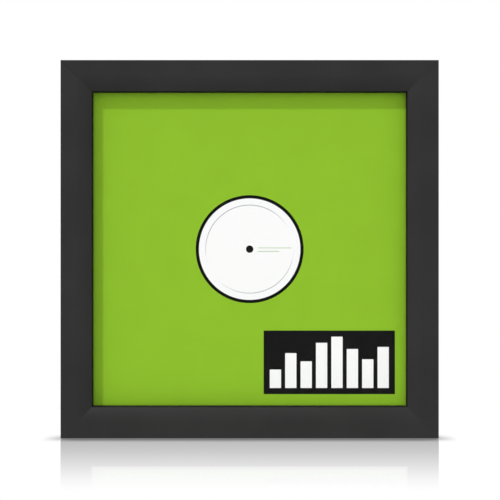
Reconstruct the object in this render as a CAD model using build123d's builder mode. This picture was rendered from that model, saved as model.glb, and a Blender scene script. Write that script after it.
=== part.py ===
from build123d import *

import math
import os

os.makedirs("parts", exist_ok=True)

# Millimetres. X runs to the viewer's right, Y away from the viewer and Z up.
# The frame stands on its bottom rail, with the origin under the middle of its box.

# Record and its paper labels
record_diameter = 301.6
record_rim_thickness = 2.2
record_rim_width = 4.5
record_groove_relief = 0.2
record_bevel = 1.5
record_land_margin = 9.0
spindle_hole_diameter = 7.24
label_diameter = 100.0
label_thickness = 0.2
label_gap = 0.05
label_ring_inset = 6.85
label_ring_width = 0.9
label_ring_depth = 0.12

# Card sleeve round the record, open at the right
sleeve_margin = 6.7
sleeve_card = 0.5
sleeve_play = 0.3
sleeve_hole_margin = 2.6
sleeve_fold_radius = 0.35

# Layers in the recess, from the lip backwards
stack_gap = 0.5
glazing_thickness = 2.0
glazing_edge_chamfer = 0.2
spacer_depth = 8.0
spacer_joint_gap = 0.1
board_thickness = 3.0
board_reveal = 0.2
board_corner_radius = 2.0

# Moulding that the four rails are cut from
wall_width = 24.5
lip_overlap = 5.75
lip_thickness = 3.0
flat_band = 14.0
face_drop = 4.0
outer_edge_radius = 0.8
lip_edge_radius = 0.5
back_edge_chamfer = 0.6
mitre_line_width = 0.25
mitre_line_depth = 0.15

# V nails that bridge each mitre
nail_place_shares = (0.3, 0.66)
nail_leg = 5.0
nail_half_angle = 50
nail_thickness = 0.6
nail_depth = 10.0
nail_gap = 0.05

# Turn buttons that hold the backing board, and their screws
button_spacing = 150.0
button_pivot_inset = 16.0
button_bite = 6.0
button_thickness = 1.2
button_pivot_radius = 5.5
button_tip_radius = 3.5
button_lift_length = 3.5
button_lift = 1.0
button_gap = 0.1
button_bore_gap = 0.08
button_edge_radius = 0.2
screw_radius = 1.5
screw_length = 12.0
screw_point = 2.5
screw_head_radius = 3.0
screw_head_height = 1.7
screw_head_crown = 0.9
cross_width = 0.8
cross_length = 3.4
cross_depth = 1.0
pilot_gap = 0.05
pilot_run = 1.0

# Sawtooth hanger and its two tacks
hanger_inset = 12.0
hanger_height = 10.0
hanger_foot = 9.0
hanger_ramp = 3.0
hanger_bridge = 24.0
hanger_rise = 1.6
hanger_thickness = 0.9
hanger_corner_radius = 1.5
tooth_count = 7
tooth_pitch = 3.0
tooth_depth = 1.8
tack_radius = 0.9
tack_length = 12.0
tack_head_radius = 2.2
tack_head_height = 0.7
tack_point = 2.0

# Rubber bumpers that keep the back off the wall
bumper_radius = 5.0
bumper_margin = 0.4
bumper_edge_radius = 1.2
bumper_base_inset = 12.0
bumper_side_inset = 40.0

# Sizes that follow
sleeve_side = record_diameter + 2 * sleeve_margin
sleeve_inside = record_rim_thickness + 2 * sleeve_play
sleeve_thickness = sleeve_inside + 2 * sleeve_card
recess_side = sleeve_side + 2 * stack_gap
frame_side = recess_side + 2 * wall_width
opening_side = recess_side - 2 * lip_overlap
lip_back = face_drop + lip_thickness
spacer_front = lip_back + glazing_thickness
sleeve_front = spacer_front + spacer_depth
board_front = sleeve_front + sleeve_thickness
rail_depth = board_front + board_thickness + board_reveal
button_reach = wall_width - button_pivot_inset + stack_gap + button_bite
screw_seat = 2 * button_gap + button_thickness
bumper_height = screw_seat + screw_head_height + bumper_margin
total_depth = rail_depth + bumper_height

# Places that follow
front_y = -total_depth / 2
back_y = front_y + rail_depth
centre_z = frame_side / 2
away = Vector(0, 1, 0)
front_centre = Vector(0, front_y, centre_z)
back_centre = Vector(0, back_y, centre_z)
back_plane = Plane(origin=back_centre, x_dir=(-1, 0, 0), z_dir=away)

# Directions along the rails, anticlockwise from the front: a run crossed with away points inwards
side_runs = {
    "bottom": Vector(1, 0, 0),
    "right": Vector(0, 0, 1),
    "top": Vector(-1, 0, 0),
    "left": Vector(0, 0, -1),
}


def layer_plane(depth):
    # An upright plane that faces the viewer, this far behind the front of the frame
    return Plane(origin=front_centre + away * depth, x_dir=(1, 0, 0), z_dir=-away)


def side_front_plane(side, depth):
    # The same, turned to one rail: local X along the rail, local Y inwards
    return Plane(origin=front_centre + away * depth, x_dir=side_runs[side], z_dir=-away)


def side_back_plane(side):
    # The back face of one rail: local X along the rail, local Y outwards
    return Plane(origin=back_centre, x_dir=side_runs[side], z_dir=away)


def chevron_pattern():
    # Two V shapes over each mitre, their points towards the outer corners
    leg_rise = nail_leg * math.cos(math.radians(nail_half_angle))
    leg_reach = nail_leg * math.sin(math.radians(nail_half_angle))
    leg_step = nail_thickness / math.sin(math.radians(nail_half_angle))
    for share in nail_place_shares:
        from_centre = math.sqrt(2) * (frame_side / 2 - share * wall_width)
        with PolarLocations(from_centre, len(side_runs), start_angle=45):
            Polygon(
                (0, 0),
                (-leg_rise, leg_reach),
                (-leg_rise - leg_step, leg_reach),
                (-leg_step, 0),
                (-leg_rise - leg_step, -leg_reach),
                (-leg_rise, -leg_reach),
                align=None,
            )


def save(builder, name):
    builder.part.label = name
    export_step(builder.part, f"parts/{name}.step")


# Rails: one moulding, mitred at both ends, with a hairline where the faces of two rails meet.
# The back is slotted for the V nails and drilled for the screws, and at the top for the tacks.
pivot_from_centre = frame_side / 2 - button_pivot_inset
hanger_from_centre = frame_side / 2 - hanger_inset
hanger_length = hanger_bridge + 2 * (hanger_ramp + hanger_foot)
tack_spacing = hanger_length - hanger_foot
for side, run in side_runs.items():
    inward = run.cross(away)
    with BuildPart() as rail:
        with BuildSketch(Plane(origin=front_centre, x_dir=away, z_dir=run)) as section:
            with BuildLine():
                outer = -frame_side / 2
                flat_end = outer + flat_band
                rabbet = -recess_side / 2
                sight = -opening_side / 2
                Line((0, outer), (0, flat_end))
                TangentArc((0, flat_end), (face_drop, sight), tangent=(0, 1))
                Polyline(
                    (face_drop, sight),
                    (lip_back, sight),
                    (lip_back, rabbet),
                    (rail_depth, rabbet),
                    (rail_depth, outer),
                    (0, outer),
                )
            make_face()
            front_corner = section.vertices().group_by(Axis.X)[0].sort_by(Axis.Y)[0]
            back_corner = section.vertices().group_by(Axis.X)[-1].sort_by(Axis.Y)[0]
            lip_corner = section.vertices().group_by(Axis.Y)[-1].sort_by(Axis.X)[0]
            fillet(front_corner, outer_edge_radius)
            fillet(lip_corner, lip_edge_radius)
            chamfer(back_corner, back_edge_chamfer)
        extrude(amount=frame_side / 2, both=True)
        for mitre_normal in (inward + run, inward - run):
            split(bisect_by=Plane(origin=front_centre, z_dir=mitre_normal), keep=Keep.BOTTOM)
        with BuildSketch(layer_plane(0)):
            for diagonal in (45, -45):
                Rectangle(2 * frame_side, mitre_line_width, rotation=diagonal)
        extrude(amount=-mitre_line_depth, mode=Mode.SUBTRACT)
        with BuildSketch(side_back_plane(side)):
            chevron_pattern()
            offset(amount=nail_gap, kind=Kind.INTERSECTION)
        extrude(amount=-nail_depth - nail_gap, mode=Mode.SUBTRACT)
        with Locations(side_back_plane(side)):
            with Locations((0, pivot_from_centre)):
                with GridLocations(button_spacing, 0, 2, 1):
                    Hole(screw_radius + pilot_gap, screw_length - screw_seat + pilot_run)
        if side == "top":
            with Locations(side_back_plane(side)):
                with Locations((0, hanger_from_centre)):
                    with GridLocations(tack_spacing, 0, 2, 1):
                        Hole(tack_radius + pilot_gap, tack_length - hanger_thickness + pilot_run)
    save(rail, f"{side}_rail")

# V nails, driven flush with the back of the moulding
with BuildPart() as v_nails:
    with BuildSketch(back_plane):
        chevron_pattern()
    extrude(amount=-nail_depth)
save(v_nails, "corner_v_nails")

# Clear glazing, against the back of the lip
layer_side = recess_side - 2 * stack_gap
with BuildPart() as glazing:
    with BuildSketch(layer_plane(lip_back)):
        Rectangle(layer_side, layer_side)
    extrude(amount=-glazing_thickness)
    chamfer(glazing.edges().filter_by(Axis.Y, reverse=True), glazing_edge_chamfer)
save(glazing, "glazing")

# Spacer strips between the glazing and the sleeve, flush with the lip
spacer_width = (layer_side - opening_side) / 2
spacer_from_centre = (layer_side - spacer_width) / 2
for side, length in (
    ("left", layer_side),
    ("right", layer_side),
    ("top", opening_side - 2 * spacer_joint_gap),
    ("bottom", opening_side - 2 * spacer_joint_gap),
):
    with BuildPart() as spacer:
        with BuildSketch(side_front_plane(side, spacer_front)):
            with Locations((0, -spacer_from_centre)):
                Rectangle(length, spacer_width)
        extrude(amount=-spacer_depth)
    save(spacer, f"{side}_spacer")

# Card sleeve: front and back panels with a round hole, closed at the left, top and bottom
sleeve_hole_radius = label_diameter / 2 + sleeve_hole_margin
with BuildPart() as sleeve:
    with BuildSketch(layer_plane(sleeve_front)):
        Rectangle(sleeve_side, sleeve_side)
    extrude(amount=-sleeve_thickness)
    folded_edges = sleeve.edges().filter_by(Axis.Y, reverse=True).sort_by(Axis.X)[:-2]
    fillet(folded_edges, sleeve_fold_radius)
    with BuildSketch(layer_plane(sleeve_front + sleeve_card)):
        with Locations((sleeve_card, 0)):
            Rectangle(sleeve_side, sleeve_side - 2 * sleeve_card)
    extrude(amount=-sleeve_inside, mode=Mode.SUBTRACT)
    with BuildSketch(layer_plane(sleeve_front)):
        Circle(sleeve_hole_radius)
    extrude(amount=-sleeve_thickness, mode=Mode.SUBTRACT)
save(sleeve, "record_sleeve")

# Record: raised rim, thinner playing area and a land with shallow seats for the labels
record_mid = sleeve_front + sleeve_thickness / 2
record_centre = front_centre + away * record_mid
rim_half = record_rim_thickness / 2
groove_half = rim_half - record_groove_relief
seat_half = rim_half - label_thickness
record_radius = record_diameter / 2
spindle_radius = spindle_hole_diameter / 2
seat_radius = label_diameter / 2 + label_gap
land_radius = label_diameter / 2 + record_land_margin
rim_start = record_radius - record_rim_width
with BuildPart() as record:
    with BuildSketch(Plane(origin=record_centre, x_dir=(1, 0, 0), z_dir=(0, 0, 1))):
        with BuildLine():
            Polyline(
                (spindle_radius, 0),
                (spindle_radius, seat_half),
                (seat_radius, seat_half),
                (seat_radius, rim_half),
                (land_radius - record_bevel, rim_half),
                (land_radius, groove_half),
                (rim_start, groove_half),
                (rim_start + record_bevel, rim_half),
                (record_radius - rim_half, rim_half),
            )
            RadiusArc((record_radius - rim_half, rim_half), (record_radius, 0), rim_half)
            mirror(about=Plane.XZ)
        make_face()
    revolve(axis=Axis(record_centre, away))
save(record, "record_disc")

# Labels: paper discs with a pressed ring, one on each face of the record
ring_outer = label_diameter / 2 - label_ring_inset + label_ring_width / 2
ring_inner = ring_outer - label_ring_width
for name, facing in (("front_label", -away), ("back_label", away)):
    label_plane = Plane(origin=record_centre + facing * rim_half, x_dir=(1, 0, 0), z_dir=facing)
    with BuildPart() as label:
        with BuildSketch(label_plane):
            Circle(label_diameter / 2)
            Circle(spindle_radius, mode=Mode.SUBTRACT)
        extrude(amount=-label_thickness)
        with BuildSketch(label_plane):
            Circle(ring_outer)
            Circle(ring_inner, mode=Mode.SUBTRACT)
        extrude(amount=-label_ring_depth, mode=Mode.SUBTRACT)
    save(label, name)

# Backing board behind the sleeve
with BuildPart() as board:
    with BuildSketch(layer_plane(board_front)):
        RectangleRounded(layer_side, layer_side, board_corner_radius)
    extrude(amount=-board_thickness)
save(board, "backing_board")

# Turn button at the origin: its pivot on Z, its tip along X, its lower face just off the rail
with BuildPart() as button:
    with BuildSketch(Plane.XY):
        Circle(button_pivot_radius)
        with Locations((button_reach - button_tip_radius, 0)):
            Circle(button_tip_radius)
        make_hull()
    extrude(amount=screw_seat + button_lift)
    with BuildSketch(Plane.XZ):
        with BuildLine():
            lift_start = button_reach - button_lift_length
            Polyline(
                (-button_pivot_radius, button_gap),
                (lift_start, button_gap),
                (button_reach, button_gap + button_lift),
                (button_reach, button_gap + button_thickness + button_lift),
                (lift_start, button_gap + button_thickness),
                (-button_pivot_radius, button_gap + button_thickness),
                close=True,
            )
        make_face()
    extrude(amount=button_pivot_radius, both=True, mode=Mode.INTERSECT)
    rounded = button.faces().filter_by(Axis.Z).sort_by(Axis.Z)[-1].edges()
    fillet(rounded.filter_by(GeomType.CIRCLE), button_edge_radius)
    with Locations((0, 0, screw_seat)):
        Hole(screw_radius + button_bore_gap)

# Screw at the origin: its axis on Z, the rail's surface at zero height
screw_tip = screw_seat - screw_length
head_top = screw_seat + screw_head_height
head_shoulder = head_top - screw_head_crown
with BuildPart() as screw:
    with BuildSketch(Plane.XZ):
        with BuildLine():
            Polyline(
                (0, head_top),
                (0, screw_tip),
                (screw_radius, screw_tip + screw_point),
                (screw_radius, screw_seat),
                (screw_head_radius, screw_seat),
                (screw_head_radius, head_shoulder),
            )
            TangentArc((0, head_top), (screw_head_radius, head_shoulder), tangent=(1, 0))
        make_face()
    revolve(axis=Axis.Z)
    with BuildSketch(Plane.XY.offset(head_top)):
        Rectangle(cross_length, cross_width)
        Rectangle(cross_width, cross_length)
    extrude(amount=-cross_depth, mode=Mode.SUBTRACT)

# Each rail carries two buttons; the ends are named as seen from the front
end_names = {
    "bottom": ("left", "right"),
    "right": ("lower", "upper"),
    "top": ("right", "left"),
    "left": ("upper", "lower"),
}
pivot_planes = {}
for side, run in side_runs.items():
    for end, sign in zip(end_names[side], (-1, 1)):
        outward = away.cross(run)
        pivot = back_centre + run * (sign * button_spacing / 2) + outward * pivot_from_centre
        pivot_planes[f"{side}_{end}"] = Plane(origin=pivot, x_dir=-outward, z_dir=away)

for place, pivot_plane in pivot_planes.items():
    with BuildPart() as placed_button:
        with Locations(pivot_plane):
            add(button.part)
    save(placed_button, f"turn_button_{place}")

with BuildPart() as button_screws:
    with Locations(*pivot_planes.values()):
        add(screw.part)
save(button_screws, "turn_button_screws")

# Sawtooth hanger on the back of the top rail: two feet, and a raised bridge with teeth below
hanger_centre = back_centre + Vector(0, 0, hanger_from_centre)
hanger_face = Plane(origin=hanger_centre + away * hanger_thickness, x_dir=(-1, 0, 0), z_dir=away)
bridge_half = hanger_bridge / 2
ramp_half = bridge_half + hanger_ramp
foot_half = hanger_length / 2
with BuildPart() as hanger:
    with BuildSketch(Plane(origin=hanger_centre, x_dir=(1, 0, 0), z_dir=(0, 0, 1))):
        with BuildLine():
            Polyline(
                (-foot_half, 0),
                (-ramp_half, 0),
                (-bridge_half, hanger_rise),
                (bridge_half, hanger_rise),
                (ramp_half, 0),
                (foot_half, 0),
                (foot_half, hanger_thickness),
                (ramp_half, hanger_thickness),
                (bridge_half, hanger_rise + hanger_thickness),
                (-bridge_half, hanger_rise + hanger_thickness),
                (-ramp_half, hanger_thickness),
                (-foot_half, hanger_thickness),
                close=True,
            )
        make_face()
    extrude(amount=hanger_height / 2, both=True)
    end_edges = hanger.edges().filter_by(Axis.Y).group_by(Axis.X)
    fillet(end_edges[0] + end_edges[-1], hanger_corner_radius)
    with BuildSketch(hanger_face):
        with Locations((0, -hanger_height / 2)):
            with GridLocations(tooth_pitch, 0, tooth_count, 1):
                Polygon((-tooth_pitch / 2, 0), (tooth_pitch / 2, 0), (0, tooth_depth), align=None)
    extrude(amount=hanger_rise, mode=Mode.SUBTRACT)
    with Locations(hanger_face):
        with GridLocations(tack_spacing, 0, 2, 1):
            Hole(tack_radius + pilot_gap)
save(hanger, "sawtooth_hanger")

# Tack at the origin: its axis on Z, the seat of its head at zero height
with BuildPart() as tack:
    with BuildSketch(Plane.XZ):
        with BuildLine():
            Polyline(
                (0, tack_head_height),
                (0, -tack_length),
                (tack_radius, -tack_length + tack_point),
                (tack_radius, 0),
                (tack_head_radius, 0),
                (tack_head_radius, tack_head_height),
                close=True,
            )
        make_face()
    revolve(axis=Axis.Z)
    fillet(tack.edges().group_by(Axis.Z)[-1], tack_head_height / 2)

with BuildPart() as hanger_tacks:
    with Locations(hanger_face):
        with GridLocations(tack_spacing, 0, 2, 1):
            add(tack.part)
save(hanger_tacks, "hanger_tacks")

# Rubber bumpers near the lower corners of the back
bumper_from_middle = frame_side / 2 - bumper_side_inset
for name, sign in (("left_bumper", -1), ("right_bumper", 1)):
    bumper_foot = Vector(sign * bumper_from_middle, back_y, bumper_base_inset)
    with BuildPart() as bumper:
        with BuildSketch(Plane(origin=bumper_foot, x_dir=(-1, 0, 0), z_dir=away)):
            Circle(bumper_radius)
        extrude(amount=bumper_height)
        fillet(bumper.edges().group_by(Axis.Y)[-1], bumper_edge_radius)
    save(bumper, name)

print(f"frame {frame_side:.1f} square, {rail_depth:.1f} deep, {total_depth:.1f} with the bumpers")
print(f"opening {opening_side:.1f}, recess {recess_side:.1f}, button reach {button_reach:.1f}")
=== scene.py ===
import bpy
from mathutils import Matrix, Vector


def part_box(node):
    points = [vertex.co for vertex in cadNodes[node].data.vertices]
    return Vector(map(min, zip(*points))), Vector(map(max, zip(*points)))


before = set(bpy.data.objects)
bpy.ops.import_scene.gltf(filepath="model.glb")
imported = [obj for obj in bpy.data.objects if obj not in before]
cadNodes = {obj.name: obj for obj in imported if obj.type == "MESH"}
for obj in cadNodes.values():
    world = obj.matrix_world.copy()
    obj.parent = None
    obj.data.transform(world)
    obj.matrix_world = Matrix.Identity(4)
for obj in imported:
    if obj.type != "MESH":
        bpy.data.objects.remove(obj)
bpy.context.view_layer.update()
scene = bpy.context.scene
scene.view_settings.view_transform = "Standard"
print("frame loaded,", len(cadNodes), "CAD nodes")

# measures of the frame, read from its CAD nodes
leftLow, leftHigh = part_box("left_rail")
sleeveLow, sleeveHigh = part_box("record_sleeve")
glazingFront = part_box("glazing")[0].y
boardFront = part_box("backing_board")[0].y
centreZ = (leftLow.z + leftHigh.z) / 2
halfSide = -leftLow.x
halfOpening = -leftHigh.x
frontY = leftLow.y


# short ways to place shader nodes
def setSocket(tree, socket, value):
    if isinstance(value, bpy.types.NodeSocket):
        tree.links.new(value, socket)
    else:
        socket.default_value = value


def addNode(tree, kind, sockets=None, **settings):
    node = tree.nodes.new("ShaderNode" + kind)
    for name, value in settings.items():
        setattr(node, name, value)
    for name, value in (sockets or {}).items():
        setSocket(tree, node.inputs[name], value)
    return node


def sums(tree, operation, *values):
    node = addNode(tree, "Math", operation=operation)
    for socket, value in zip(node.inputs, values):
        setSocket(tree, socket, value)
    return node.outputs[0]


def product(tree, first, *others):
    for other in others:
        first = sums(tree, "MULTIPLY", first, other)
    return first


def fade(tree, value, start, end, low=0.0, high=1.0):  # a soft step from low to high
    sockets = {"Value": value, "From Min": start, "From Max": end, "To Min": low, "To Max": high}
    return addNode(tree, "MapRange", sockets, interpolation_type="SMOOTHSTEP").outputs["Result"]


def spread(tree, mask, low, high):  # a mask from 0 to 1 as a number from low to high
    return addNode(tree, "MapRange", {"Value": mask, "To Min": low, "To Max": high}).outputs["Result"]


def between(tree, value, low, high):
    above = sums(tree, "GREATER_THAN", value, low)
    return product(tree, above, sums(tree, "LESS_THAN", value, high))


def splitAxes(tree, vector):
    return addNode(tree, "SeparateXYZ", {0: vector}).outputs


def joinAxes(tree, x, y, z):
    return addNode(tree, "CombineXYZ", {"X": x, "Y": y, "Z": z}).outputs[0]


def grey(tree, level):
    return joinAxes(tree, level, level, level)


def blendNumbers(tree, share, first, second):
    return addNode(tree, "Mix", {0: share, 2: first, 3: second}, data_type="FLOAT").outputs[0]


def blendColours(tree, share, first, second, way="MIX"):
    node = addNode(tree, "Mix", {0: share, 6: first, 7: second}, data_type="RGBA", blend_type=way)
    return node.outputs[2]


def toned(tree, colour, factor):  # the same colour, lighter or darker
    return blendColours(tree, 1.0, colour, grey(tree, factor), "MULTIPLY")


def bump(tree, height, depth, under=None):  # depth in metres for a height from 0 to 1
    sockets = {"Height": height, "Distance": depth}
    if under is not None:
        sockets["Normal"] = under
    return addNode(tree, "Bump", sockets).outputs[0]


# effects that several materials share
effects = {
    "streakDetail": 3.0,
    "streakRoughness": 0.6,
    "fibreStretch": 4.0,
    "fibreStep": (0.36, 0.68),
    "patchDetail": 4.0,
    "patchStep": (0.25, 0.75),
    "speckRadius": (0.12, 0.34),  # in cells
}


def newGroup(name, inputs, outputs):
    group = bpy.data.node_groups.new(name, "ShaderNodeTree")
    for label, start in inputs.items():
        kind = "NodeSocketVector" if start is None else "NodeSocketFloat"
        socket = group.interface.new_socket(name=label, in_out="INPUT", socket_type=kind)
        if start is not None:
            socket.default_value = start
    for label in outputs:
        group.interface.new_socket(name=label, in_out="OUTPUT", socket_type="NodeSocketFloat")
    return group, group.nodes.new("NodeGroupInput").outputs, group.nodes.new("NodeGroupOutput").inputs


def useGroup(tree, group, sockets):
    node = addNode(tree, "Group", node_tree=group)
    for name, value in sockets.items():
        setSocket(tree, node.inputs[name], value)
    return node.outputs


def makeSquarePlaces():  # where a point lies in the square frame: how far out, along its side and off a mitre
    group, given, made = newGroup("squarePlaces", {"Position": None}, ["Out", "Along", "Depth", "Radius", "Seam"])
    x, y, z = splitAxes(group, given["Position"])
    up = sums(group, "SUBTRACT", z, centreZ)
    across, upright = sums(group, "ABSOLUTE", x), sums(group, "ABSOLUTE", up)
    onSide = sums(group, "GREATER_THAN", across, upright)
    along = blendNumbers(group, onSide, x, up)
    squared = sums(group, "ADD", product(group, x, x), product(group, up, up))
    setSocket(group, made["Out"], sums(group, "MAXIMUM", across, upright))
    setSocket(group, made["Along"], along)
    setSocket(group, made["Depth"], y)
    setSocket(group, made["Radius"], sums(group, "SQRT", squared))
    setSocket(group, made["Seam"], sums(group, "ABSOLUTE", sums(group, "SUBTRACT", across, upright)))
    return group


def makeDrawnStreaks():  # lines along the first axis, for drawn metal and pressed grain
    inputs = {"Position": None, "Width": 0.0003, "Stretch": 30.0}
    group, given, made = newGroup("drawnStreaks", inputs, ["Streaks"])
    perWidth = sums(group, "DIVIDE", 1.0, given["Width"])
    scale = joinAxes(group, sums(group, "DIVIDE", perWidth, given["Stretch"]), perWidth, perWidth)
    stretched = addNode(group, "VectorMath", {0: given["Position"], 1: scale}, operation="MULTIPLY").outputs[0]
    detail, roughness = effects["streakDetail"], effects["streakRoughness"]
    sockets = {"Vector": stretched, "Scale": 1.0, "Detail": detail, "Roughness": roughness}
    setSocket(group, made["Streaks"], addNode(group, "TexNoise", sockets).outputs["Fac"])
    return group


def makeFeltedFibres():  # short fibres pressed flat, lying both ways
    group, given, made = newGroup("feltedFibres", {"Position": None, "Width": 0.0004}, ["Fibres"])
    x, y, z = splitAxes(group, given["Position"])
    ways = []
    for run in (joinAxes(group, x, z, y), joinAxes(group, z, x, y)):
        lay = addStreaks(group, run, given["Width"], effects["fibreStretch"])
        ways.append(fade(group, lay, *effects["fibreStep"]))
    both = sums(group, "ADD", product(group, ways[0], 0.5), product(group, ways[1], 0.5))
    setSocket(group, made["Fibres"], both)
    return group


def makeSoftPatches():  # cloudy variation of a given size, about 0.5
    group, given, made = newGroup("softPatches", {"Position": None, "Size": 0.01}, ["Patches"])
    scale = sums(group, "DIVIDE", 1.0, given["Size"])
    sockets = {"Vector": given["Position"], "Scale": scale, "Detail": effects["patchDetail"]}
    noise = addNode(group, "TexNoise", sockets).outputs["Fac"]
    setSocket(group, made["Patches"], fade(group, noise, *effects["patchStep"]))
    return group


def makeFineSpecks():  # scattered grains, one in some of the cells of a given size
    inputs = {"Position": None, "Size": 0.001, "Share": 0.2}
    group, given, made = newGroup("fineSpecks", inputs, ["Specks"])
    scale = sums(group, "DIVIDE", 1.0, given["Size"])
    cells = addNode(group, "TexVoronoi", {"Vector": given["Position"], "Scale": scale})
    chance = splitAxes(group, cells.outputs["Color"])
    chosen = sums(group, "LESS_THAN", chance[0], given["Share"])
    radius = spread(group, chance[1], *effects["speckRadius"])
    inside = sums(group, "LESS_THAN", cells.outputs["Distance"], radius)
    setSocket(group, made["Specks"], product(group, chosen, inside))
    return group


def addStreaks(tree, position, width, stretch):
    return useGroup(tree, drawnStreaks, {"Position": position, "Width": width, "Stretch": stretch})["Streaks"]


def addFibres(tree, position, width):
    return useGroup(tree, feltedFibres, {"Position": position, "Width": width})["Fibres"]


def addPatches(tree, position, size):
    return useGroup(tree, softPatches, {"Position": position, "Size": size})["Patches"]


def addSpecks(tree, position, size, share):
    return useGroup(tree, fineSpecks, {"Position": position, "Size": size, "Share": share})["Specks"]


squarePlaces = makeSquarePlaces()
drawnStreaks = makeDrawnStreaks()
feltedFibres = makeFeltedFibres()
softPatches = makeSoftPatches()
fineSpecks = makeFineSpecks()
print("shared effects made")


# materials
def startMaterial(name, constants=None):
    material = bpy.data.materials.new(name)
    material.use_nodes = True
    tree = material.node_tree
    tree.nodes.clear()
    surface = addNode(tree, "BsdfPrincipled", constants)
    addNode(tree, "OutputMaterial", {"Surface": surface.outputs[0]})
    place = addNode(tree, "TexCoord").outputs["Object"]
    return material, tree, surface, place


def dress(material, *names):
    for name in names:
        for slot in cadNodes[name].material_slots:
            slot.material = material


rail = {
    "black": (0.0262, 0.0260, 0.0260, 1.0),  # the foil
    "rubbed": (0.040, 0.039, 0.038, 1.0),
    "lipPaintAndShade": (0.006, 0.006, 0.006, 1.0),  # the lip's inner edge: black paint, made darker still as painted shade of the lip's wall
    "shine": 0.25,
    "roughness": (0.46, 0.60),
    "edgeRoughness": 0.85,
    "cloudSize": 0.045,
    "cloudTone": (0.94, 1.06),
    "grainWidth": 0.00035,
    "grainStretch": 5.0,
    "grainDepth": 0.000005,
    "rim": (0.0009, 0.0002),  # in from the side, where the rubbing starts and where it is full
    "lip": (0.0007, 0.0002),  # out from the opening, the same for the paint and its painted shade
    "rubStep": (0.62, 0.95),
    "rubShare": 0.5,
    "seamShade": (0.06, 0.30),  # how much darker a closed mitre is, and the upper left one
    "seamReach": 0.0018,
    "seamSlope": (0.0165, 0.0125),  # in from the side, where it is faint and where it is full
    "seamFaint": 0.33,
    "fillSize": 0.009,
    "wrap": 0.0042,  # how far the foil goes round onto the back
    "raggedSize": 0.0022,
    "raggedReach": 0.00025,
    "core": (0.400, 0.245, 0.130, 1.0),
    "coreDark": (0.235, 0.130, 0.062, 1.0),
    "coreStart": 0.0001,  # how far before the glazing the rabbet's bare core starts
    "fibreWidth": 0.00032,
    "fibreDepth": 0.00006,
    "speckSize": 0.0011,
    "speckShare": 0.35,
    "speckTone": 0.45,
    "joint": (0.050, 0.028, 0.014, 1.0),  # the mitre in the bare core
    "jointReach": 0.0006,
    "jointShare": (0.55, 0.95),
}


def makeRailFoil():  # black foil round a fibre core, which shows bare at the back and in the rabbet
    material, tree, surface, place = startMaterial("railFoil", {"Specular IOR Level": rail["shine"]})
    spots = useGroup(tree, squarePlaces, {"Position": place})
    out, seam = spots["Out"], spots["Seam"]
    run = joinAxes(tree, spots["Along"], out, spots["Depth"])
    grain = addStreaks(tree, run, rail["grainWidth"], rail["grainStretch"])
    cloud = addPatches(tree, run, rail["cloudSize"])
    ragged = addPatches(tree, run, rail["raggedSize"])
    rim = fade(tree, out, *[halfSide - inset for inset in rail["rim"]])
    lip = fade(tree, out, *[halfOpening + reach for reach in rail["lip"]])
    rubbed = product(tree, rim, fade(tree, ragged, *rail["rubStep"]), rail["rubShare"])
    black = blendColours(tree, rubbed, rail["black"], rail["rubbed"])
    # the lip's edge darkened: black paint and painted shade of its inner wall
    black = blendColours(tree, lip, black, rail["lipPaintAndShade"])
    # the mitres, filled here and there
    x, y, z = splitAxes(tree, place)
    upperLeft = product(tree, sums(tree, "LESS_THAN", x, 0.0), sums(tree, "GREATER_THAN", z, centreZ))
    filled = addPatches(tree, place, rail["fillSize"])
    band = fade(tree, out, *[halfSide - inset for inset in rail["seamSlope"]], rail["seamFaint"], 1.0)
    mitreShade = product(tree, filled, spread(tree, upperLeft, *rail["seamShade"]), band)
    mitreShade = product(tree, fade(tree, seam, 0.0, rail["seamReach"], 1.0, 0.0), mitreShade)
    mitreTone = sums(tree, "SUBTRACT", 1.0, mitreShade)
    black = toned(tree, black, product(tree, mitreTone, spread(tree, cloud, *rail["cloudTone"])))
    # the core
    fibre = addFibres(tree, run, rail["fibreWidth"])
    specks = addSpecks(tree, run, rail["speckSize"], rail["speckShare"])
    bare = blendColours(tree, fibre, rail["coreDark"], rail["core"])
    bare = blendColours(tree, product(tree, specks, rail["speckTone"]), bare, rail["coreDark"])
    joint = fade(tree, seam, 0.0, rail["jointReach"], 1.0, 0.0)
    bare = blendColours(tree, product(tree, joint, spread(tree, filled, *rail["jointShare"])), bare, rail["joint"])
    wrapEdge = sums(tree, "ADD", out, spread(tree, ragged, -rail["raggedReach"], rail["raggedReach"]))
    isBare = product(
        tree,
        sums(tree, "LESS_THAN", wrapEdge, halfSide - rail["wrap"]),
        sums(tree, "GREATER_THAN", spots["Depth"], glazingFront - rail["coreStart"]),
    )
    dull = sums(tree, "MAXIMUM", isBare, sums(tree, "MAXIMUM", rim, lip))
    roughness = blendNumbers(tree, dull, spread(tree, cloud, *rail["roughness"]), rail["edgeRoughness"])
    pressed = bump(tree, grain, rail["grainDepth"])
    felted = bump(tree, product(tree, fibre, isBare), rail["fibreDepth"], pressed)
    setSocket(tree, surface.inputs["Base Color"], blendColours(tree, isBare, black, bare))
    setSocket(tree, surface.inputs["Roughness"], roughness)
    setSocket(tree, surface.inputs["Normal"], felted)
    return material


dress(makeRailFoil(), "top_rail", "bottom_rail", "left_rail", "right_rail")


acrylic = {
    "ior": 1.49,
    "clear": (0.998, 0.998, 0.998, 1.0),
    "dusty": (0.76, 0.76, 0.75, 1.0),  # painted shade: the pane is darker along the lip, where the recess behind it lies in shade
    "edgeShadeReach": (0.0032, 0.0004),  # in from the lip, where it starts and where it is full
    "dustShare": (0.85, 1.0),
    "wipeSize": 0.06,
    "smear": (0.0, 0.02),
}


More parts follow.
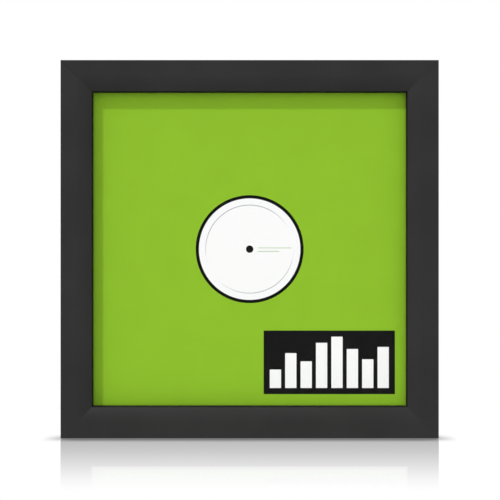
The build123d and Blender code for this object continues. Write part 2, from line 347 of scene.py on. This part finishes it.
def makeClearAcrylic():
    constants = {"IOR": acrylic["ior"], "Transmission Weight": 1.0}
    material, tree, surface, place = startMaterial("clearAcrylic", constants)
    wipe = addPatches(tree, place, acrylic["wipeSize"])
    out = useGroup(tree, squarePlaces, {"Position": place})["Out"]
    # painted shade along the lip, uneven in patches, for the darker sleeve beside the lip
    lipShade = fade(tree, out, *[halfOpening - inset for inset in acrylic["edgeShadeReach"]])
    lipShade = product(tree, lipShade, spread(tree, wipe, *acrylic["dustShare"]))
    setSocket(tree, surface.inputs["Base Color"], blendColours(tree, lipShade, acrylic["clear"], acrylic["dusty"]))
    setSocket(tree, surface.inputs["Roughness"], spread(tree, wipe, *acrylic["smear"]))
    # lamps and soft light go straight through the pane
    path = addNode(tree, "LightPath").outputs
    through = addNode(tree, "BsdfTransparent", {"Color": acrylic["clear"]}).outputs[0]
    lit = addNode(tree, "MixShader", {0: path["Is Shadow Ray"], 1: surface.outputs[0], 2: through}).outputs[0]
    lit = addNode(tree, "MixShader", {0: path["Is Diffuse Ray"], 1: lit, 2: through}).outputs[0]
    output = [node for node in tree.nodes if node.type == "OUTPUT_MATERIAL"][0]
    setSocket(tree, output.inputs["Surface"], lit)
    return material


dress(makeClearAcrylic(), "glazing")


spacer = {
    "black": (0.012, 0.012, 0.012, 1.0),
    "grey": (0.030, 0.030, 0.030, 1.0),
    "shine": 0.2,
    "roughness": (0.72, 0.95),
    "fibreWidth": 0.0004,
    "fibreStretch": 3.0,
    "fibreStep": (0.4, 0.8),
    "fibreShare": 0.4,
    "fibreDepth": 0.00003,
    "lintSize": 0.0016,
    "lintShare": 0.12,
    "lintTone": 0.5,
}


def makeSpacerBlack():
    material, tree, surface, place = startMaterial("spacerBlack", {"Specular IOR Level": spacer["shine"]})
    fibre = addStreaks(tree, place, spacer["fibreWidth"], spacer["fibreStretch"])
    lint = addSpecks(tree, place, spacer["lintSize"], spacer["lintShare"])
    share = fade(tree, fibre, *spacer["fibreStep"], 0.0, spacer["fibreShare"])
    tone = blendColours(tree, share, spacer["black"], spacer["grey"])
    tone = blendColours(tree, product(tree, lint, spacer["lintTone"]), tone, spacer["grey"])
    setSocket(tree, surface.inputs["Base Color"], tone)
    setSocket(tree, surface.inputs["Roughness"], spread(tree, fibre, *spacer["roughness"]))
    setSocket(tree, surface.inputs["Normal"], bump(tree, fibre, spacer["fibreDepth"]))
    return material


dress(makeSpacerBlack(), "top_spacer", "bottom_spacer", "left_spacer", "right_spacer")


sleeve = {
    "green": (0.2555, 0.497, 0.019, 1.0),
    "card": (0.62, 0.58, 0.50, 1.0),
    "ink": (0.0050, 0.0050, 0.0051, 1.0),
    "white": (0.93, 0.93, 0.926, 1.0),
    "block": (0.0136, 0.1416, 0.0412, 0.1032),  # left, right, low and high edge
    "bars": (0.018, 0.034, 0.026, 0.044, 0.050, 0.038, 0.028, 0.040),
    "barWidth": 0.011,
    "barGap": 0.004,
    "margin": 0.006,
    "shine": 0.15,
    "roughness": (0.5, 0.72),
    "cloudSize": 0.03,
    "cloudTone": (0.985, 1.015),
    "fibreWidth": 0.0003,
    "fibreStretch": 2.5,
    "fibreTone": 0.02,
    "fibreDepth": 0.000006,
    "frontSkin": 0.0002,  # the block is on the front face alone
    "printDepth": 0.00045,  # deeper than this, the panels' card is bare
    "edgeDepth": 0.0007,  # and so it is at the sides
}


def makeSleeveCard():  # printed outside, bare card inside
    material, tree, surface, place = startMaterial("sleeveCard", {"Specular IOR Level": sleeve["shine"]})
    out = useGroup(tree, squarePlaces, {"Position": place})["Out"]
    x, y, z = splitAxes(tree, place)
    fibre = addStreaks(tree, place, sleeve["fibreWidth"], sleeve["fibreStretch"])
    cloud = addPatches(tree, place, sleeve["cloudSize"])
    left, right, low, high = sleeve["block"]
    block = product(tree, between(tree, x, left, right), between(tree, z, low, high))
    foot = low + sleeve["margin"]
    bars = 0.0
    for count, height in enumerate(sleeve["bars"]):
        start = left + sleeve["margin"] + count * (sleeve["barWidth"] + sleeve["barGap"])
        across = between(tree, x, start, start + sleeve["barWidth"])
        bars = sums(tree, "ADD", bars, product(tree, across, between(tree, z, foot, foot + height)))
    isFront = sums(tree, "LESS_THAN", y, sleeveLow.y + sleeve["frontSkin"])
    fibreTone = spread(tree, fibre, -sleeve["fibreTone"], sleeve["fibreTone"])
    green = toned(tree, sleeve["green"], sums(tree, "ADD", spread(tree, cloud, *sleeve["cloudTone"]), fibreTone))
    printed = blendColours(tree, product(tree, block, isFront), green, sleeve["ink"])
    printed = blendColours(tree, product(tree, bars, isFront), printed, sleeve["white"])
    inside = product(
        tree,
        between(tree, y, sleeveLow.y + sleeve["printDepth"], sleeveHigh.y - sleeve["printDepth"]),
        sums(tree, "LESS_THAN", out, sleeveHigh.x - sleeve["edgeDepth"]),
    )
    setSocket(tree, surface.inputs["Base Color"], blendColours(tree, inside, printed, sleeve["card"]))
    setSocket(tree, surface.inputs["Roughness"], spread(tree, fibre, *sleeve["roughness"]))
    setSocket(tree, surface.inputs["Normal"], bump(tree, fibre, sleeve["fibreDepth"]))
    return material


dress(makeSleeveCard(), "record_sleeve")


vinyl = {
    "black": (0.0050, 0.0050, 0.0055, 1.0),
    "grooves": (0.0595, 0.1460),  # radius where they end and start
    "pitch": 0.0006,
    "depth": 0.00004,
    "soundDetail": 3.0,
    "roughness": (0.10, 0.18),
    "grooveRoughness": 0.12,
    "dustRoughness": 0.2,
    "cloudSize": 0.02,
    "dustSize": 0.004,
    "dustShare": 0.10,
}


def makeRecordVinyl():
    material, tree, surface, place = startMaterial("recordVinyl", {"Base Color": vinyl["black"]})
    radius = useGroup(tree, squarePlaces, {"Position": place})["Radius"]
    played = between(tree, radius, *vinyl["grooves"])
    turns = sums(tree, "DIVIDE", radius, vinyl["pitch"])
    sockets = {"W": turns, "Scale": 1.0, "Detail": vinyl["soundDetail"]}
    sound = addNode(tree, "TexNoise", sockets, noise_dimensions="1D").outputs["Fac"]
    dust = addSpecks(tree, place, vinyl["dustSize"], vinyl["dustShare"])
    calm = spread(tree, addPatches(tree, place, vinyl["cloudSize"]), *vinyl["roughness"])
    grooved = product(tree, played, vinyl["grooveRoughness"])
    dusted = product(tree, dust, vinyl["dustRoughness"])
    roughness = sums(tree, "ADD", calm, sums(tree, "ADD", grooved, dusted))
    setSocket(tree, surface.inputs["Roughness"], roughness)
    setSocket(tree, surface.inputs["Normal"], bump(tree, product(tree, sound, played), vinyl["depth"]))
    return material


dress(makeRecordVinyl(), "record_disc")


label = {
    "paper": (0.930, 0.930, 0.930, 1.0),
    "bright": (0.927, 0.930, 0.938, 1.0),  # outside the ring
    "flash": (0.0060, 0.0060, 0.0062, 1.0),  # vinyl that the press left over the paper's rim
    "flashRadius": 0.04945,
    "green": (0.36, 0.52, 0.22, 1.0),
    "lines": ((0.0080, 0.0405, 0.0012), (0.0080, 0.0290, -0.0022)),  # start, end, height over the middle
    "lineWidth": 0.00065,
    "ring": (0.0426, 0.0432),
    "ringShade": (0.27, 0.27, 0.31, 1.0),
    "ringShadeWay": (-0.375, 0.927),  # the way along which the ring's painted shade is darkest, where its groove's walls face away from the key light
    "ringOffset": 0.15,
    "ringStep": (0.1, 1.0),
    "shine": 0.3,
    "roughness": (0.55, 0.75),
    "fibreWidth": 0.0002,
    "fibreStretch": 3.0,
    "fibreTone": (0.985, 1.0),
    "fibreDepth": 0.000004,
}


def makeLabelPaper():
    material, tree, surface, place = startMaterial("labelPaper", {"Specular IOR Level": label["shine"]})
    radius = useGroup(tree, squarePlaces, {"Position": place})["Radius"]
    x, y, z = splitAxes(tree, place)
    fibre = addStreaks(tree, place, label["fibreWidth"], label["fibreStretch"])
    lines = 0.0
    for start, end, height in label["lines"]:
        low = centreZ + height - label["lineWidth"] / 2
        line = product(tree, between(tree, x, start, end), between(tree, z, low, low + label["lineWidth"]))
        lines = sums(tree, "ADD", lines, line)
    outside = sums(tree, "GREATER_THAN", radius, label["ring"][1])
    paper = blendColours(tree, outside, label["paper"], label["bright"])
    paper = toned(tree, paper, spread(tree, fibre, *label["fibreTone"]))
    # the pressed ring: painted shade in its groove, strongest along one diagonal, as lit from the upper left
    sideways, upwards = label["ringShadeWay"]
    up = sums(tree, "SUBTRACT", z, centreZ)
    lean = sums(tree, "ADD", product(tree, x, sideways), product(tree, up, upwards))
    lean = sums(tree, "ADD", sums(tree, "DIVIDE", lean, radius), label["ringOffset"])
    awayFromKey = fade(tree, sums(tree, "ABSOLUTE", lean), *label["ringStep"])
    ring = product(tree, awayFromKey, between(tree, radius, *label["ring"]))
    paper = blendColours(tree, ring, paper, label["ringShade"])
    paper = blendColours(tree, lines, paper, label["green"])
    flash = sums(tree, "GREATER_THAN", radius, label["flashRadius"])
    setSocket(tree, surface.inputs["Base Color"], blendColours(tree, flash, paper, label["flash"]))
    setSocket(tree, surface.inputs["Roughness"], spread(tree, fibre, *label["roughness"]))
    setSocket(tree, surface.inputs["Normal"], bump(tree, fibre, label["fibreDepth"]))
    return material


dress(makeLabelPaper(), "front_label", "back_label")


board = {
    "brown": (0.270, 0.150, 0.075, 1.0),
    "dark": (0.140, 0.070, 0.032, 1.0),
    "pale": (0.40, 0.26, 0.15, 1.0),
    "shadeBlack": (0.010, 0.010, 0.010, 1.0),  # black on the side towards the record: painted shade for the dark seen through the record's centre hole
    "shadeBlackDepth": 0.0002,
    "shine": 0.25,
    "roughness": (0.7, 0.9),
    "fibreWidth": 0.00036,
    "fibreDepth": 0.00006,
    "cloudSize": 0.035,
    "cloudTone": 0.14,
    "fleckSize": 0.0016,
    "fleckShare": 0.30,
    "fleckTone": 0.4,
}


def makeBoardFibre():
    material, tree, surface, place = startMaterial("boardFibre", {"Specular IOR Level": board["shine"]})
    fibre = addFibres(tree, place, board["fibreWidth"])
    cloud = addPatches(tree, place, board["cloudSize"])
    flecks = addSpecks(tree, place, board["fleckSize"], board["fleckShare"])
    tone = blendColours(tree, fibre, board["dark"], board["brown"])
    tone = blendColours(tree, product(tree, cloud, board["cloudTone"]), tone, board["pale"])
    tone = blendColours(tree, product(tree, flecks, board["fleckTone"]), tone, board["dark"])
    # the side towards the record is coloured black as painted shade
    shadeFaced = sums(tree, "LESS_THAN", splitAxes(tree, place)["Y"], boardFront + board["shadeBlackDepth"])
    setSocket(tree, surface.inputs["Base Color"], blendColours(tree, shadeFaced, tone, board["shadeBlack"]))
    setSocket(tree, surface.inputs["Roughness"], spread(tree, cloud, *board["roughness"]))
    setSocket(tree, surface.inputs["Normal"], bump(tree, fibre, board["fibreDepth"]))
    return material


dress(makeBoardFibre(), "backing_board")


zinc = {
    "bright": (0.64, 0.65, 0.67, 1.0),
    "dull": (0.42, 0.43, 0.45, 1.0),
    "spot": (0.30, 0.30, 0.30, 1.0),
    "roughness": (0.30, 0.44),
    "cloudSize": 0.006,
    "spotSize": 0.0012,
    "spotShare": 0.10,
    "spotTone": 0.35,
    "lineWidth": 0.00012,
    "lineStretch": 40.0,
    "lineRoughness": 0.06,
    "lineDepth": 0.000004,
    "upright": False,
}
screwZinc = {**zinc, "bright": (0.72, 0.71, 0.68, 1.0), "dull": (0.48, 0.47, 0.44, 1.0), "cloudSize": 0.002}
hangerZinc = {**zinc, "bright": (0.60, 0.61, 0.63, 1.0), "dull": (0.38, 0.39, 0.41, 1.0), "roughness": (0.34, 0.5)}
nailSteel = {**zinc, "bright": (0.46, 0.46, 0.47, 1.0), "dull": (0.30, 0.30, 0.31, 1.0), "upright": True}


def makeZincSteel(name, look):  # zinc plate with drawn lines along one axis
    material, tree, surface, place = startMaterial(name, {"Metallic": 1.0})
    x, y, z = splitAxes(tree, place)
    run = joinAxes(tree, z, x, y) if look["upright"] else place
    lines = addStreaks(tree, run, look["lineWidth"], look["lineStretch"])
    cloud = addPatches(tree, place, look["cloudSize"])
    spots = addSpecks(tree, place, look["spotSize"], look["spotShare"])
    tone = blendColours(tree, cloud, look["dull"], look["bright"])
    tone = blendColours(tree, product(tree, spots, look["spotTone"]), tone, look["spot"])
    lineRoughness = spread(tree, lines, -look["lineRoughness"], look["lineRoughness"])
    roughness = sums(tree, "ADD", spread(tree, cloud, *look["roughness"]), lineRoughness)
    setSocket(tree, surface.inputs["Base Color"], tone)
    setSocket(tree, surface.inputs["Roughness"], roughness)
    setSocket(tree, surface.inputs["Normal"], bump(tree, lines, look["lineDepth"]))
    return material


uprightPlaces = ("top_left", "top_right", "bottom_left", "bottom_right")
levelPlaces = ("left_upper", "left_lower", "right_upper", "right_lower")
uprightZinc = makeZincSteel("buttonZincUpright", {**zinc, "upright": True})
dress(uprightZinc, *["turn_button_" + place for place in uprightPlaces])
dress(makeZincSteel("buttonZincLevel", zinc), *["turn_button_" + place for place in levelPlaces])
dress(makeZincSteel("screwZinc", screwZinc), "turn_button_screws")
dress(makeZincSteel("hangerZinc", hangerZinc), "sawtooth_hanger")
dress(makeZincSteel("tackZinc", screwZinc), "hanger_tacks")
dress(makeZincSteel("nailSteel", nailSteel), "corner_v_nails")


rubber = {
    "black": (0.016, 0.016, 0.017, 1.0),
    "dusty": (0.060, 0.058, 0.055, 1.0),
    "shine": 0.4,
    "roughness": (0.55, 0.8),
    "poreSize": 0.0006,
    "poreDepth": 0.00002,
    "dustSize": 0.0009,
    "dustShare": 0.18,
}


def makeBumperRubber():
    material, tree, surface, place = startMaterial("bumperRubber", {"Specular IOR Level": rubber["shine"]})
    pores = addPatches(tree, place, rubber["poreSize"])
    dust = addSpecks(tree, place, rubber["dustSize"], rubber["dustShare"])
    setSocket(tree, surface.inputs["Base Color"], blendColours(tree, dust, rubber["black"], rubber["dusty"]))
    setSocket(tree, surface.inputs["Roughness"], spread(tree, pores, *rubber["roughness"]))
    setSocket(tree, surface.inputs["Normal"], bump(tree, pores, rubber["poreDepth"]))
    return material


dress(makeBumperRubber(), "left_bumper", "right_bumper")
print("materials on all CAD nodes")


# floor: white to the eye with the frame's shadow and mirror image, pale to soft light
floor = {
    "size": 12.0,
    "pale": (0.95, 0.70),  # painted light: what soft light meets close to the frame, paler so that more of it bounces onto the frame's lower part, and farther off
    "paintedLightReach": 0.5,
    "shadowReach": (0.033, 0.016),  # in front, and at the sides
    "shadowPower": (3.2, 0.6),
    "shadowSamples": 16,
    "contact": 0.36,  # light left where the frame stands
    "sideStep": (-0.003, 0.001),  # where the shadow in front turns into the one at the sides
    "poolShade": 0.42,  # soft shade beside the foot
    "poolWidth": 0.0172,
    "poolLength": 0.033,
    "polish": 1.5,
    "polishRoughness": 0.004,
    "mirror": ((0.10, 0.83), (0.202, 0.515), (0.235, 0.38), (0.283, 0.19), (0.327, 0.049)),  # distance, strength
    "mirrorReach": 0.352,
    "mirrorSide": 0.06,
    "veil": 0.44,  # how much paler the mirror image of the pane is than that of the rails
    "veilStart": (0.2015, 0.2135),
    "veilSide": (0.1535, 0.1510),
    "veilTaper": 0.095,  # it narrows towards the front
    "studioReach": 0.05,
    "studioShade": (0.55, 0.97),  # gloss sees a dark studio in front
}
bpy.ops.object.select_all(action="DESELECT")
bpy.ops.mesh.primitive_plane_add(size=floor["size"], location=(0.0, 0.0, 0.0))
floorPlane = bpy.context.object
floorPlane.name = "floor"


def makeFloor():
    material = bpy.data.materials.new("paleFloor")
    material.use_nodes = True
    material.cycles.emission_sampling = "NONE"
    tree = material.node_tree
    tree.nodes.clear()
    x, y, z = splitAxes(tree, addNode(tree, "TexCoord").outputs["Object"])
    path = addNode(tree, "LightPath").outputs
    across = sums(tree, "ABSOLUTE", x)
    beside = sums(tree, "SUBTRACT", across, halfSide)
    before = sums(tree, "SUBTRACT", frontY, y)
    # the mirror image, which fades with the distance before the frame
    ramp = addNode(tree, "ValToRGB", {"Fac": sums(tree, "DIVIDE", before, floor["mirrorReach"])})
    for distance, share in floor["mirror"]:
        ramp.color_ramp.elements.new(distance / floor["mirrorReach"]).color = (share, share, share, 1.0)
    ramp.color_ramp.elements[0].color = (1.0, 1.0, 1.0, 1.0)
    ramp.color_ramp.elements[-1].color = (0.0, 0.0, 0.0, 1.0)
    tapered = sums(tree, "ADD", across, product(tree, before, floor["veilTaper"]))
    pane = product(tree, fade(tree, before, *floor["veilStart"]), fade(tree, tapered, *floor["veilSide"]))
    near = product(tree, ramp.outputs["Color"], fade(tree, beside, 0.0, floor["mirrorSide"], 1.0, 0.0))
    near = product(tree, near, spread(tree, pane, 1.0, 1.0 - floor["veil"]))
    polish = addNode(tree, "Fresnel", {"IOR": floor["polish"]}).outputs[0]
    mirror = product(tree, polish, near, sums(tree, "GREATER_THAN", before, 0.0))
    # the shadows where it stands
    shades = []
    for reach, power in zip(floor["shadowReach"], floor["shadowPower"]):
        sky = addNode(tree, "AmbientOcclusion", {"Distance": reach}, samples=floor["shadowSamples"]).outputs["AO"]
        shades.append(sums(tree, "POWER", sky, power))
    out = fade(tree, sums(tree, "ABSOLUTE", before), 0.0, floor["poolLength"], floor["poolShade"], 0.0)
    pool = product(tree, out, spread(tree, sums(tree, "DIVIDE", beside, floor["poolWidth"]), 1.0, 0.0))
    side = fade(tree, beside, *floor["sideStep"])
    pooled = sums(tree, "SUBTRACT", 1.0, product(tree, pool, side))
    inFront = sums(tree, "MAXIMUM", shades[0], floor["contact"])
    atSide = sums(tree, "MINIMUM", shades[1], pooled)
    shade = blendNumbers(tree, side, inFront, atSide)
    # what the eye, gloss and soft light see
    mirrored = sums(tree, "MAXIMUM", path["Is Glossy Ray"], path["Is Transmission Ray"])
    dim = product(tree, fade(tree, before, 0.0, floor["studioReach"], *floor["studioShade"]), mirrored)
    tone = product(tree, shade, sums(tree, "SUBTRACT", 1.0, dim))
    white = addNode(tree, "Emission", {"Color": tone}).outputs[0]
    sockets = {"Color": grey(tree, pooled), "Roughness": floor["polishRoughness"]}
    image = addNode(tree, "BsdfGlossy", sockets).outputs[0]
    seen = addNode(tree, "MixShader", {0: mirror, 1: white, 2: image}).outputs[0]
    # painted light: the floor is paler to soft light close before the frame
    paintedBounce = fade(tree, before, 0.0, floor["paintedLightReach"], *floor["pale"])
    pale = addNode(tree, "BsdfDiffuse", {"Color": grey(tree, paintedBounce)}).outputs[0]
    both = addNode(tree, "MixShader", {0: path["Is Diffuse Ray"], 1: seen, 2: pale}).outputs[0]
    addNode(tree, "OutputMaterial", {"Surface": both})
    return material


floorPlane.data.materials.append(makeFloor())


# light: a key from the upper left, a large soft box in front, and a soft room that is brighter behind
light = {
    "keyWay": (0.719, 1.0, -1.218),
    "keyPlace": (-0.9, -1.2, 1.6),
    "keyStrength": 1.29,
    "keyAngle": 0.008,
    "boxPlace": (0.2, -2.2, 0.46),
    "boxSize": 2.0,
    "boxPower": 19.6,
}
keyData = bpy.data.lights.new("key", "SUN")
keyData.energy = light["keyStrength"]
keyData.angle = light["keyAngle"]
key = bpy.data.objects.new("key", keyData)
key.rotation_euler = Vector(light["keyWay"]).to_track_quat("-Z", "Y").to_euler()
key.location = light["keyPlace"]
scene.collection.objects.link(key)
boxData = bpy.data.lights.new("softBox", "AREA")
boxData.energy = light["boxPower"]
boxData.shape = "SQUARE"
boxData.size = light["boxSize"]
softBox = bpy.data.objects.new("softBox", boxData)
softBox.location = light["boxPlace"]
boxWay = Vector((0.0, 0.0, centreZ)) - Vector(light["boxPlace"])
softBox.rotation_euler = boxWay.to_track_quat("-Z", "Y").to_euler()
softBox.visible_camera = softBox.visible_glossy = softBox.visible_transmission = False
scene.collection.objects.link(softBox)

room = {
    "strength": 0.578,
    "behind": 1.20,  # how much is added straight behind
    "softness": 4.0,
    "studioShade": 0.97,  # gloss sees a dark studio in front, darkest low down, as the glazing does
    "studioLean": 0.4,
    "studioStep": (-0.2, -0.6),
    "upStep": (0.15, 0.95),
    "upShade": 0.9,
}


def makeRoom():
    world = bpy.data.worlds.new("softRoom")
    scene.world = world
    world.use_nodes = True
    world.cycles.sampling_method = "NONE"
    tree = world.node_tree
    tree.nodes.clear()
    way = splitAxes(tree, addNode(tree, "TexCoord").outputs["Generated"])
    behind = sums(tree, "POWER", sums(tree, "MAXIMUM", way["Y"], 0.0), room["softness"])
    lit = sums(tree, "ADD", product(tree, behind, room["behind"]), room["strength"])
    path = addNode(tree, "LightPath").outputs
    forward = sums(tree, "SUBTRACT", way["Y"], product(tree, way["Z"], room["studioLean"]))
    up = fade(tree, way["Z"], *room["upStep"], 1.0, room["upShade"])
    dark = product(tree, fade(tree, forward, *room["studioStep"]), up, room["studioShade"])
    gloss = sums(tree, "MAXIMUM", path["Is Glossy Ray"], path["Is Transmission Ray"])
    mirrored = sums(tree, "SUBTRACT", 1.0, product(tree, dark, gloss))
    seen = sums(tree, "MAXIMUM", path["Is Camera Ray"], gloss)
    level = blendNumbers(tree, seen, lit, mirrored)
    air = addNode(tree, "Background", {"Color": (1.0, 1.0, 1.0, 1.0), "Strength": level}).outputs[0]
    addNode(tree, "OutputWorld", {"Surface": air})


makeRoom()
print("floor and light placed")


# camera: level with the frame's middle, straight before it
view = {"distance": 1.6, "width": 0.4823, "sensor": 36.0, "shift": (0.0007, -0.0017), "clip": (0.01, 100.0)}
cameraData = bpy.data.cameras.new("camera")
cameraData.sensor_width = view["sensor"]
cameraData.lens = view["sensor"] * view["distance"] / view["width"]
cameraData.shift_x, cameraData.shift_y = view["shift"]
cameraData.clip_start, cameraData.clip_end = view["clip"]
camera = bpy.data.objects.new("camera", cameraData)
camera.location = (0.0, frontY - view["distance"], centreZ)
camera.rotation_euler = Vector((0.0, 1.0, 0.0)).to_track_quat("-Z", "Y").to_euler()
scene.collection.objects.link(camera)
scene.camera = camera
print("camera placed")
